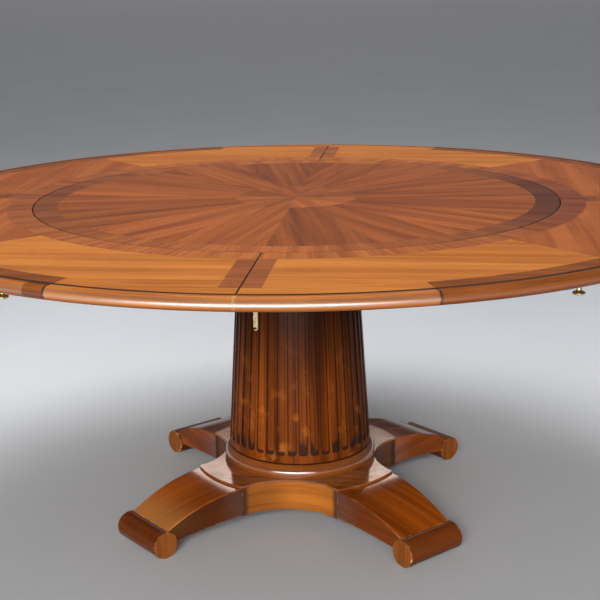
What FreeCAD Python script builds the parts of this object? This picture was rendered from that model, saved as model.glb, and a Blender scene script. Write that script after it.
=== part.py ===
import FreeCAD, Part
import math
import os
import Sketcher
from types import SimpleNamespace

# Round pedestal table whose central disc is ringed by four removable leaves.
# The origin is on the floor under the column's axis, +Z is up, and the seams
# between the leaves lie on the X and Y axes. Legs and leaf centre lines lie on the
# diagonals, and the lopers lie a few degrees off them.

# Driving sizes, in millimetres, degrees and counts
DRIVING_SIZES = {
    # the whole top
    "table_height": 750,
    "disc_radius": 604,
    "leaf_width": 346,
    "top_thickness": 25,
    "veneer_thickness": 1.2,
    "leaf_gap": 1.2,
    "arris": 0.7,
    # veneers of the disc
    "wedge_count": 16,
    "medallion_radius": 140,
    "disc_band": 55,
    # veneers and edge of a leaf
    "inner_band": 55,
    "seam_band": 36,
    "outer_band": 43,
    "band_joint_angle": 20.5,
    "string_width": 3.5,
    "string_depth": 4,
    "nose_depth": 26,
    "moulding_joint": 0.4,
    "glue_line": 0.1,
    # dowels between a leaf and the disc
    "dowel_radius": 5,
    "dowel_length": 72,
    "dowel_grip": 32,
    "dowel_offset": 200,
    "socket_clearance": 0.4,
    # lopers, their rails and stops
    "loper_length": 410,
    "loper_overhang": 205,
    "loper_width": 60,
    "loper_travel": 225,
    "loper_turn": 4.5,
    "slide_clearance": 0.3,
    "rail_width": 30,
    "rail_height": 35,
    "rail_block_gap": 13,
    "rail_setback": 25,
    "tongue_depth": 8,
    "tongue_height": 9,
    "stop_pin_radius": 4,
    "stop_pin_length": 11,
    "stop_pin_setback": 90,
    "slot_floor": 3,
    # pull knob of a loper
    "knob_setback": 25,
    "knob_drop": 37,
    "knob_radius": 12.5,
    "knob_neck_radius": 5.2,
    "knob_plate_radius": 8,
    "knob_plate_height": 3,
    "knob_rim_height": 5,
    # column and the moulding under it
    "block_radius": 165,
    "column_foot_radius": 172,
    "column_head_radius": 138,
    "column_wall": 38,
    "flute_count": 40,
    "flute_depth": 3,
    "flute_foot_margin": 18,
    "flute_head_margin": 26,
    "torus_radius": 184,
    "torus_height": 33,
    "torus_round": 26,
    "torus_belly": 11,
    "neck_height": 3,
    "neck_depth": 4,
    # base
    "base_height": 116,
    "plate_thickness": 5,
    "plate_radius": 255,
    "hub_height": 68,
    "scallop_reach": 183,
    "leg_width": 171,
    "leg_foot_width": 144,
    "leg_arris": 2,
    "tenon_length": 45,
    "tenon_height": 34,
    "tenon_width": 70,
    "foot_reach": 446.5,
    "scroll_radius": 31,
    "scroll_length": 157,
    "scroll_flat": 0.8,
    "scroll_arris": 1.5,
    "scroll_top_angle": 105,
    "scroll_under_angle": 181,
    # tie rod through the column
    "rod_radius": 8,
    "rod_clearance": 0.5,
    "rod_tail": 4,
    "nut_flats": 24,
    "nut_height": 13,
    "washer_radius": 22,
    "washer_thickness": 3,
    "recess_margin": 4,
    # seam hooks, their brackets and keepers
    "hook_setback": 70,
    "hook_offset": 26,
    "keeper_offset": 9,
    "hook_half_width": 3.6,
    "hook_thickness": 2.5,
    "hook_eye_radius": 1.1,
    "hook_pin_radius": 1.3,
    "hook_pin_clearance": 0.3,
    "mouth_clearance": 0.6,
    "pivot_drop": 8.5,
    "hook_side_gap": 0.5,
    "rivet_radius": 2.6,
    "rivet_height": 1.4,
    "keeper_tail": 2.5,
    "catch_plate_length": 15,
    "catch_plate_width": 15,
    "catch_plate_thickness": 2,
    "lug_half_width": 3.6,
    "lug_thickness": 2.5,
    # one overrun for every cut that leaves a face
    "overrun": 5,
}

# Shares of the sizes that they follow
FLUTE_WIDTH_SHARE = 0.74
FLUTE_CORNER_SHARE = 0.55
NUT_CORNER_SHARE = 2 / math.sqrt(3)
HOOK_EYE_SHARE = 0.5
KNOB_WAIST_SHARE = 0.45

# Turns, in degrees
FULL_TURN = 360
QUARTER_TURN = 90
EIGHTH_TURN = 45
HEX_TURN = 60

QUARTERS = ("back_right", "back_left", "front_left", "front_right")
ORIGIN = FreeCAD.Vector(0, 0, 0)
UP = FreeCAD.Vector(0, 0, 1)
ACROSS = FreeCAD.Vector(1, 0, 0)

doc = FreeCAD.newDocument("round_extending_table")
sheet = doc.addObject("Spreadsheet::Sheet", "sizes")
for row, (alias, number) in enumerate(DRIVING_SIZES.items(), start=1):
    sheet.set(f"A{row}", alias.replace("_", " "))
    sheet.set(f"B{row}", str(number))
    sheet.setAlias(f"B{row}", alias)
doc.recompute()


class Size:
    """A number together with the sheet expression that it comes from."""

    def __init__(self, value, text):
        self.value = float(value)
        self.text = text

    def __add__(self, other):
        other = as_size(other)
        return Size(self.value + other.value, f"({self.text} + {other.text})")

    def __sub__(self, other):
        other = as_size(other)
        return Size(self.value - other.value, f"({self.text} - {other.text})")

    def __mul__(self, other):
        other = as_size(other)
        return Size(self.value * other.value, f"({self.text} * {other.text})")

    def __truediv__(self, other):
        other = as_size(other)
        return Size(self.value / other.value, f"({self.text} / {other.text})")

    def __neg__(self):
        return Size(-self.value, f"(0 - {self.text})")

    def __rsub__(self, other):
        return as_size(other) - self

    def __rtruediv__(self, other):
        return as_size(other) / self

    __radd__ = __add__
    __rmul__ = __mul__


def as_size(number):
    return number if isinstance(number, Size) else Size(number, repr(float(number)))


def root(square):
    return Size(math.sqrt(square.value), f"sqrt({square.text})")


def sine(angle):
    angle = as_size(angle)
    return Size(math.sin(math.radians(angle.value)), f"sin({angle.text})")


def cosine(angle):
    angle = as_size(angle)
    return Size(math.cos(math.radians(angle.value)), f"cos({angle.text})")


def across(radius, offset):
    """Distance along a line at which it meets a circle, when the line passes the centre at offset."""
    return root(radius * radius - offset * offset)


def turned(point, angle):
    x, y = point
    return (x * cosine(angle) - y * sine(angle), x * sine(angle) + y * cosine(angle))


S = SimpleNamespace(**{alias: Size(sheet.get(alias), f"sizes.{alias}") for alias in DRIVING_SIZES})
ZERO = as_size(0)


# Modelling helpers

def bind(item, path, size):
    item.setExpression(path, as_size(size).text)


def new_body(label, turn=0):
    body = doc.addObject("PartDesign::Body", label)
    body.Label = label
    body.Placement = FreeCAD.Placement(ORIGIN, FreeCAD.Rotation(UP, turn))
    return body


def origin_feature(body, role):
    return next(feature for feature in body.Origin.OriginFeatures if feature.Role == role)


def new_sketch(body, role, offset=ZERO):
    sketch = body.newObject("Sketcher::SketchObject", f"{body.Name}_sketch")
    sketch.AttachmentSupport = [(origin_feature(body, role), "")]
    sketch.MapMode = "FlatFace"
    bind(sketch, "AttachmentOffset.Base.z", offset)
    return sketch


def vector(point):
    return FreeCAD.Vector(point[0].value, point[1].value, 0)


def constrain(sketch, wanted):
    """Adds constraints given as (constraint, size), and binds those that have a size to the sheet."""
    first = sketch.ConstraintCount
    sketch.addConstraint([constraint for constraint, size in wanted])
    for number, (constraint, size) in enumerate(wanted, start=first):
        if size is not None:
            bind(sketch, f"Constraints[{number}]", size)


def place_point(geometry, end, point):
    return [
        (Sketcher.Constraint("DistanceX", -1, 1, geometry, end, point[0].value), point[0]),
        (Sketcher.Constraint("DistanceY", -1, 1, geometry, end, point[1].value), point[1]),
    ]


def arc_between(start, end, centre, anticlockwise):
    first = vector(start) - vector(centre)
    last = vector(end) - vector(centre)
    if not anticlockwise:
        first, last = last, first
    from_angle = math.atan2(first.y, first.x)
    to_angle = math.atan2(last.y, last.x)
    if to_angle <= from_angle:
        to_angle += math.tau
    return Part.ArcOfCircle(Part.Circle(vector(centre), UP, first.Length), from_angle, to_angle)


def place_centre(geometry, start, end, centre):
    """Holds the centre of an arc, whose ends are placed, along the line square to its chord."""
    chord = vector(end) - vector(start)
    kind, coordinate = ("DistanceX", centre[0]) if abs(chord.y) > abs(chord.x) else ("DistanceY", centre[1])
    return (Sketcher.Constraint(kind, -1, 1, geometry, 3, coordinate.value), coordinate)


def draw_outline(sketch, corners, arcs=None):
    """Closed outline through the corners. arcs maps a round side's number to (centre, anticlockwise)."""
    arcs = arcs or {}
    sides = []
    wanted = []
    for number, start in enumerate(corners):
        start = tuple(as_size(part) for part in start)
        end = tuple(as_size(part) for part in corners[(number + 1) % len(corners)])
        if number in arcs:
            centre, anticlockwise = arcs[number]
            centre = tuple(as_size(part) for part in centre)
            geometry = sketch.addGeometry(arc_between(start, end, centre, anticlockwise), False)
            ends = (1, 2) if anticlockwise else (2, 1)
            wanted.append(place_centre(geometry, start, end, centre))
        else:
            geometry = sketch.addGeometry(Part.LineSegment(vector(start), vector(end)), False)
            ends = (1, 2)
        wanted += place_point(geometry, ends[0], start)
        sides.append((geometry, ends))
    for number, (geometry, ends) in enumerate(sides):
        following, following_ends = sides[(number + 1) % len(sides)]
        meeting = Sketcher.Constraint("Coincident", geometry, ends[1], following, following_ends[0])
        wanted.append((meeting, None))
    constrain(sketch, wanted)


def draw_circle(sketch, centre, radius):
    centre = tuple(as_size(part) for part in centre)
    geometry = sketch.addGeometry(Part.Circle(vector(centre), UP, radius.value), False)
    wanted = place_point(geometry, 3, centre)
    wanted.append((Sketcher.Constraint("Radius", geometry, radius.value), radius))
    constrain(sketch, wanted)


def rectangle(low, high):
    return [low, (high[0], low[1]), high, (low[0], high[1])]


def extrude(body, kind, sketch, length, symmetric=False, reverse=False):
    feature = body.newObject(f"PartDesign::{kind}", f"{body.Name}_{kind.lower()}")
    feature.Profile = sketch
    bind(feature, "Length", length)
    feature.SideType = "Symmetric" if symmetric else "One side"
    feature.Reversed = reverse
    return feature


def pad(body, sketch, length, symmetric=False):
    return extrude(body, "Pad", sketch, length, symmetric)


def pocket(body, sketch, length, symmetric=False, reverse=False):
    return extrude(body, "Pocket", sketch, length, symmetric, reverse)


def revolve(body, sketch, angle=FULL_TURN):
    feature = body.newObject("PartDesign::Revolution", f"{body.Name}_revolution")
    feature.Profile = sketch
    feature.ReferenceAxis = (sketch, ["V_Axis"])
    bind(feature, "Angle", angle)
    feature.Midplane = True
    return feature


def polar_pattern(body, features, count):
    pattern = body.newObject("PartDesign::PolarPattern", f"{body.Name}_pattern")
    pattern.Originals = features
    pattern.Axis = (origin_feature(body, "Z_Axis"), [""])
    pattern.Angle = FULL_TURN
    bind(pattern, "Occurrences", count)
    body.Tip = pattern
    return pattern


def bevel_edges(body, base, chosen, size):
    """Chamfers those edges of a feature that the test chosen accepts."""
    doc.recompute()
    names = [f"Edge{n}" for n, edge in enumerate(base.Shape.Edges, start=1) if chosen(edge)]
    feature = body.newObject("PartDesign::Chamfer", f"{body.Name}_chamfer")
    feature.Base = (base, names)
    bind(feature, "Size", size)
    return feature


def turned_body(label, profile, arcs=None, angle=FULL_TURN, turn=0):
    """A body turned about Z from a profile of (radius, height) corners."""
    body = new_body(label, turn)
    sketch = new_sketch(body, "XZ_Plane")
    draw_outline(sketch, profile, arcs)
    revolve(body, sketch, angle)
    return body


def set_of(label, pieces, turn=0):
    """One node that holds the given pieces as separate solids, turned about the column's axis."""
    node = doc.addObject("Part::Compound", label)
    node.Label = label
    node.Links = pieces
    node.Placement = FreeCAD.Placement(ORIGIN, FreeCAD.Rotation(UP, turn))
    return node


def ring_of(label, pieces, count):
    """One node that holds copies of the pieces, evenly turned about the column's axis."""
    steps = [set_of(f"{label}_{step}", pieces, FULL_TURN * step / count) for step in range(count)]
    return set_of(label, steps)


nodes = []


def in_each_quarter(label, pieces):
    """The pieces of the back right quarter, repeated as one node in each quarter."""
    for quarter, name in enumerate(QUARTERS):
        nodes.append(set_of(f"{label}_{name}", pieces, QUARTER_TURN * quarter))


# Heights and radii that several pieces share
top = S.table_height
core_top = top - S.veneer_thickness
top_underside = top - S.top_thickness
rail_underside = top_underside - S.rail_height
half_gap = S.leaf_gap / 2
table_radius = S.disc_radius + S.leaf_width
leaf_radius = S.disc_radius + S.leaf_gap
field_start = leaf_radius + S.inner_band
moulding_start = table_radius - S.nose_depth
string_start = moulding_start - S.string_width
field_end = string_start - S.outer_band


def angle_of(offset, radius):
    """Angle, in degrees, at which a line's offset is seen from the axis at a radius."""
    share = offset / radius
    return Size(math.degrees(math.asin(share.value)), f"asin({share.text}) / 1 deg")


seam_half_angle = angle_of(half_gap, table_radius)
joint_half_angle = angle_of(S.moulding_joint / 2, table_radius)
leaf_angle = QUARTER_TURN - 2 * seam_half_angle
dowel_height = top - S.top_thickness / 2


# Veneers

def along_seam(offset):
    """Line beside the seam on the X axis."""
    return lambda radius: (across(radius, offset), offset)


def along_far_seam(offset):
    """Line beside the seam on the Y axis."""
    return lambda radius: (offset, across(radius, offset))


def at_angle(angle):
    return lambda radius: (radius * cosine(angle), radius * sine(angle))


def ring_panel(label, inner, outer, first_edge, last_edge):
    """Veneer between two radii and two edges, lying on the core."""
    body = new_body(label)
    sketch = new_sketch(body, "XY_Plane", core_top)
    corners = [first_edge(inner), first_edge(outer), last_edge(outer), last_edge(inner)]
    arcs = {1: ((0, 0), True), 3: ((0, 0), False)}
    draw_outline(sketch, corners, arcs)
    pad(body, sketch, S.veneer_thickness)
    return body


def disc_top():
    band_start = S.disc_radius - S.disc_band
    core = turned_body(
        "disc_core",
        [(0, top_underside), (S.disc_radius, top_underside), (S.disc_radius, core_top), (0, core_top)],
    )
    sockets = []
    for offsets in ((ZERO,), (S.dowel_offset, -S.dowel_offset)):
        socket_floor = across(leaf_radius, offsets[0]) - S.dowel_length + S.dowel_grip - S.overrun
        sketch = new_sketch(core, "YZ_Plane", socket_floor)
        for offset in offsets:
            draw_circle(sketch, (offset, dowel_height), S.dowel_radius + S.socket_clearance)
        sockets.append(pocket(core, sketch, S.disc_radius, reverse=True))
    polar_pattern(core, sockets, len(QUARTERS))
    core.Placement = FreeCAD.Placement(ORIGIN, FreeCAD.Rotation(UP, EIGHTH_TURN))
    wedge_angle = FULL_TURN / S.wedge_count
    wedge = ring_panel(
        "sunburst_wedge", S.medallion_radius, band_start, at_angle(ZERO), at_angle(wedge_angle)
    )
    medallion = turned_body(
        "disc_medallion",
        [(0, core_top), (S.medallion_radius, core_top), (S.medallion_radius, top), (0, top)],
    )
    crossband = turned_body(
        "disc_crossband",
        [
            (band_start, core_top),
            (S.disc_radius, core_top),
            (S.disc_radius, top - S.arris),
            (S.disc_radius - S.arris, top),
            (band_start, top),
        ],
    )
    sunburst = ring_of("disc_sunburst_veneers", [wedge], int(S.wedge_count.value))
    nodes.extend([core, sunburst, medallion, crossband])


def leaves():
    core = turned_body(
        "leaf_core",
        [
            (leaf_radius, top_underside),
            (moulding_start, top_underside),
            (moulding_start, top - S.string_depth),
            (string_start, top - S.string_depth),
            (string_start, core_top),
            (leaf_radius, core_top),
        ],
        angle=leaf_angle,
        turn=EIGHTH_TURN,
    )
    dowels = new_body("leaf_dowels", EIGHTH_TURN)
    for offsets in ((ZERO,), (S.dowel_offset, -S.dowel_offset)):
        dowel_end = across(leaf_radius, offsets[0]) + S.dowel_grip
        hole = new_sketch(core, "YZ_Plane", dowel_end - S.dowel_length)
        section = new_sketch(dowels, "YZ_Plane", dowel_end - S.dowel_length)
        for offset in offsets:
            draw_circle(hole, (offset, dowel_height), S.dowel_radius)
            draw_circle(section, (offset, dowel_height), S.dowel_radius)
        pocket(core, hole, S.dowel_length, reverse=True)
        pad(dowels, section, S.dowel_length)
    in_each_quarter("leaf_core", [core])
    in_each_quarter("leaf_dowels", [dowels])

    seam = along_seam(half_gap)
    far_seam = along_far_seam(half_gap)
    strip = along_seam(half_gap + S.seam_band)
    far_strip = along_far_seam(half_gap + S.seam_band)
    bisector = at_angle(as_size(EIGHTH_TURN))
    joint = at_angle(S.band_joint_angle)
    far_joint = at_angle(QUARTER_TURN - S.band_joint_angle)
    fields = [
        ring_panel("field_near", field_start, field_end, strip, bisector),
        ring_panel("field_far", field_start, field_end, bisector, far_strip),
    ]
    bands = [
        ring_panel("inner_band_near", leaf_radius, field_start, seam, bisector),
        ring_panel("inner_band_far", leaf_radius, field_start, bisector, far_seam),
        ring_panel("seam_band_near", field_start, field_end, seam, strip),
        ring_panel("seam_band_far", field_start, field_end, far_strip, far_seam),
        ring_panel("outer_band_near", field_end, string_start, seam, joint),
        ring_panel("outer_band_middle", field_end, string_start, joint, far_joint),
        ring_panel("outer_band_far", field_end, string_start, far_joint, far_seam),
    ]
    in_each_quarter("leaf_field_veneers", fields)
    in_each_quarter("leaf_crossbands", bands)

    string = turned_body(
        "leaf_string",
        rectangle((string_start, top - S.string_depth), (moulding_start - S.glue_line, top)),
        angle=leaf_angle,
        turn=EIGHTH_TURN,
    )
    in_each_quarter("leaf_string", [string])

    nose_radius = S.top_thickness / 2
    nose_centre = (table_radius - nose_radius, top - nose_radius)
    nose = [
        (moulding_start, top_underside),
        (nose_centre[0], top_underside),
        (nose_centre[0], top),
        (moulding_start, top),
    ]
    round_nose = {1: (nose_centre, True)}
    end_angle = S.band_joint_angle - seam_half_angle - joint_half_angle
    end_turn = seam_half_angle.value + end_angle.value / 2
    middle_angle = QUARTER_TURN - 2 * (S.band_joint_angle + joint_half_angle)
    mouldings = [
        turned_body("moulding_near", nose, round_nose, end_angle, end_turn),
        turned_body("moulding_middle", nose, round_nose, middle_angle, EIGHTH_TURN),
        turned_body("moulding_far", nose, round_nose, end_angle, QUARTER_TURN - end_turn),
    ]
    in_each_quarter("leaf_edge_moulding", mouldings)


def seam_catches():
    """Hook on the leaf that starts at the X axis, and the keeper that its neighbour's hook catches."""
    pivot_height = top_underside - S.pivot_drop
    hook_place = table_radius - S.hook_setback
    hook_face = hook_place - S.hook_thickness / 2
    hook_back = hook_place + S.hook_thickness / 2
    lug_face = hook_face - S.hook_side_gap - S.lug_thickness

    def catch_plate(label, offset, tail, turn):
        body = new_body(label, turn)
        plate = new_sketch(body, "YZ_Plane", hook_place - S.catch_plate_width / 2)
        half_length = S.catch_plate_length / 2
        low = (offset - half_length, top_underside - S.catch_plate_thickness)
        draw_outline(plate, rectangle(low, (offset + half_length, top_underside)))
        pad(body, plate, S.catch_plate_width)
        lug = new_sketch(body, "YZ_Plane", lug_face)
        left = offset - S.lug_half_width
        right = offset + S.lug_half_width
        corners = [
            (left, pivot_height),
            (right, pivot_height),
            (right, top_underside - S.catch_plate_thickness),
            (left, top_underside - S.catch_plate_thickness),
        ]
        draw_outline(lug, corners, {0: ((offset, pivot_height), True)})
        pad(body, lug, S.lug_thickness)
        pin = new_sketch(body, "YZ_Plane", lug_face)
        draw_circle(pin, (offset, pivot_height), S.hook_pin_radius)
        pad(body, pin, hook_back + tail - lug_face)
        return body

    bracket = catch_plate("hook_bracket", S.hook_offset, S.hook_side_gap, 0)
    rivet = new_sketch(bracket, "YZ_Plane", hook_back + S.hook_side_gap)
    draw_circle(rivet, (S.hook_offset, pivot_height), S.rivet_radius)
    pad(bracket, rivet, S.rivet_height)
    keeper = catch_plate("hook_keeper", -S.keeper_offset, S.keeper_tail, QUARTER_TURN)
    in_each_quarter("catch_plates", [bracket, keeper])

    reach = S.hook_offset + S.keeper_offset
    mouth = S.hook_pin_radius + S.mouth_clearance
    half = S.hook_half_width
    middle = S.hook_offset
    tip = pivot_height - reach
    jaw = across(half, mouth)
    hook = new_body("seam_hook")
    blade = new_sketch(hook, "YZ_Plane", hook_face)
    corners = [
        (middle + half, pivot_height),
        (middle - half, pivot_height),
        (middle - half, tip + mouth),
        (middle, tip + mouth),
        (middle, tip - mouth),
        (middle - jaw, tip - mouth),
        (middle + half, tip),
    ]
    arcs = {
        0: ((middle, pivot_height), True),
        3: ((middle, tip), False),
        5: ((middle, tip), True),
    }
    draw_outline(blade, corners, arcs)
    draw_circle(blade, (middle, pivot_height), S.hook_pin_radius + S.hook_pin_clearance)
    draw_circle(blade, (middle, pivot_height - HOOK_EYE_SHARE * reach), S.hook_eye_radius)
    pad(hook, blade, S.hook_thickness)
    in_each_quarter("seam_hook", [hook])


def lopers():
    loper_line = EIGHTH_TURN + S.loper_turn
    half_width = S.loper_width / 2
    loper_reach = S.disc_radius + S.loper_overhang
    rail_start = S.block_radius + S.rail_block_gap
    rail_end = S.disc_radius - S.rail_setback
    stop_pin_place = S.disc_radius - S.stop_pin_setback
    loper_top = top_underside - S.slide_clearance
    loper_bottom = rail_underside + S.slide_clearance
    middle = top_underside - S.rail_height / 2
    rail_face = half_width + S.slide_clearance
    groove_floor = rail_face - S.tongue_depth - S.slide_clearance
    tongue_top = middle + S.tongue_height / 2
    tongue_bottom = middle - S.tongue_height / 2
    groove_top = tongue_top + S.slide_clearance
    groove_bottom = tongue_bottom - S.slide_clearance

    loper = new_body("loper", loper_line.value)
    section = new_sketch(loper, "YZ_Plane", loper_reach - S.loper_length)
    right_side = [
        (half_width, loper_bottom),
        (half_width, groove_bottom),
        (groove_floor, groove_bottom),
        (groove_floor, groove_top),
        (half_width, groove_top),
        (half_width, loper_top),
    ]
    left_side = [(-y, z) for y, z in reversed(right_side)]
    draw_outline(section, right_side + left_side)
    pad(loper, section, S.loper_length)
    slot_radius = S.stop_pin_radius + S.slide_clearance
    slot_end = stop_pin_place + S.loper_travel
    slot = new_sketch(loper, "XY_Plane", loper_top)
    corners = [
        (stop_pin_place, -slot_radius),
        (slot_end, -slot_radius),
        (slot_end, slot_radius),
        (stop_pin_place, slot_radius),
    ]
    arcs = {
        1: ((slot_end, 0), True),
        3: ((stop_pin_place, 0), True),
    }
    draw_outline(slot, corners, arcs)
    pocket(loper, slot, S.stop_pin_length + S.slot_floor)
    in_each_quarter("loper", [loper])

    rails = []
    for name, side in (("left", 1), ("right", -1)):
        rail = new_body(f"rail_{name}", loper_line.value)
        profile = new_sketch(rail, "YZ_Plane", rail_start)
        corners = [
            (rail_face, rail_underside),
            (rail_face + S.rail_width, rail_underside),
            (rail_face + S.rail_width, top_underside),
            (rail_face, top_underside),
            (rail_face, tongue_top),
            (rail_face - S.tongue_depth, tongue_top),
            (rail_face - S.tongue_depth, tongue_bottom),
            (rail_face, tongue_bottom),
        ]
        draw_outline(profile, [(side * y, z) for y, z in corners])
        pad(rail, profile, rail_end - rail_start)
        rails.append(rail)
    nodes.append(ring_of("loper_guide_rails", rails, len(QUARTERS)))

    stop = new_body("stop_pin", loper_line.value)
    circle = new_sketch(stop, "XY_Plane", top_underside - S.stop_pin_length)
    draw_circle(circle, (stop_pin_place, 0), S.stop_pin_radius)
    pad(stop, circle, S.stop_pin_length)
    nodes.append(ring_of("loper_stop_pins", [stop], len(QUARTERS)))

    knob = turned_body("knob", *knob_profile(loper_bottom))
    knob_place = loper_reach - S.knob_setback
    bind(knob, "Placement.Base.x", knob_place * cosine(loper_line))
    bind(knob, "Placement.Base.y", knob_place * sine(loper_line))
    in_each_quarter("loper_knob", [knob])


def knob_profile(seat):
    """Knob that hangs from its plate and flares to a round rim: corners and arcs of its half section."""
    tip = seat - S.knob_drop
    plate_bottom = seat - S.knob_plate_height
    rim_round = S.knob_rim_height / 2
    rim_place = S.knob_radius - rim_round
    rim_top = tip + S.knob_rim_height
    head_top = rim_top + rim_place - S.knob_neck_radius
    waist = plate_bottom - KNOB_WAIST_SHARE * (plate_bottom - head_top)
    corners = [
        (0, tip),
        (rim_place, tip),
        (rim_place, rim_top),
        (S.knob_neck_radius, head_top),
        (S.knob_neck_radius, waist),
        (S.knob_plate_radius, plate_bottom),
        (S.knob_plate_radius, seat),
        (0, seat),
    ]
    arcs = {
        1: ((rim_place, tip + rim_round), True),
        2: ((rim_place, head_top), False),
    }
    return corners, arcs


# Pedestal

plate_top = S.base_height
hub_top = plate_top - S.plate_thickness
hub_bottom = hub_top - S.hub_height
column_bottom = plate_top + S.torus_height + S.neck_height
rod_hole = S.rod_radius + S.rod_clearance
recess_radius = S.washer_radius + S.recess_margin
recess_depth = S.washer_thickness + S.nut_height + S.rod_tail + S.recess_margin


def column():
    bore = S.column_head_radius - S.column_wall
    shaft = turned_body(
        "column_shaft",
        [
            (bore, column_bottom),
            (S.column_foot_radius, column_bottom),
            (S.column_head_radius, rail_underside),
            (bore, rail_underside),
        ],
    )
    taper = (S.column_foot_radius - S.column_head_radius) / (rail_underside - column_bottom)
    slant = Size(math.degrees(math.atan(taper.value)), f"atan({taper.text}) / 1 deg")
    flute_low = S.flute_foot_margin
    flute_high = (rail_underside - column_bottom - S.flute_head_margin) / cosine(slant)

    def flute_half_width(rise):
        face = S.column_foot_radius - rise * sine(slant)
        return FLUTE_WIDTH_SHARE * face * sine(FULL_TURN / S.flute_count / 2)

    low_half = flute_half_width(flute_low)
    high_half = flute_half_width(flute_high)
    low_round = FLUTE_CORNER_SHARE * low_half
    high_round = FLUTE_CORNER_SHARE * high_half
    low_corner = (low_half - low_round, flute_low + low_round)
    high_corner = (high_half - high_round, flute_high - high_round)
    right_side = [
        (low_corner[0], flute_low),
        (low_half, low_corner[1]),
        (high_half, high_corner[1]),
        (high_corner[0], flute_high),
    ]
    left_side = [(-y, z) for y, z in reversed(right_side)]
    arcs = {
        0: (low_corner, True),
        2: (high_corner, True),
        4: ((-high_corner[0], high_corner[1]), True),
        6: ((-low_corner[0], low_corner[1]), True),
    }
    flute = new_sketch(shaft, "YZ_Plane", S.column_foot_radius)
    flute.AttachmentOffset = FreeCAD.Placement(ORIGIN, FreeCAD.Rotation(ACROSS, -slant.value))
    bind(flute, "AttachmentOffset.Base.y", column_bottom)
    bind(flute, "AttachmentOffset.Base.z", S.column_foot_radius)
    bind(flute, "AttachmentOffset.Rotation.Angle", -slant)
    draw_outline(flute, right_side + left_side, arcs)
    polar_pattern(shaft, [pocket(shaft, flute, S.flute_depth)], S.flute_count)

    torus_top = plate_top + S.torus_height
    torus_centre = (S.torus_radius - S.torus_round, plate_top + S.torus_belly)
    torus_foot = torus_centre[0] + across(S.torus_round, S.torus_belly)
    torus_lip = torus_centre[0] + across(S.torus_round, S.torus_height - S.torus_belly)
    neck = S.column_foot_radius - S.neck_depth
    moulding = turned_body(
        "column_base_moulding",
        [
            (bore, plate_top),
            (torus_foot, plate_top),
            (torus_lip, torus_top),
            (neck, torus_top),
            (neck, column_bottom),
            (bore, column_bottom),
        ],
        {1: (torus_centre, True)},
    )
    block = turned_body(
        "mounting_block",
        [
            (rod_hole, rail_underside),
            (S.block_radius, rail_underside),
            (S.block_radius, top_underside),
            (recess_radius, top_underside),
            (recess_radius, top_underside - recess_depth),
            (rod_hole, top_underside - recess_depth),
        ],
    )
    nodes.extend([shaft, moulding, block])


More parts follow.
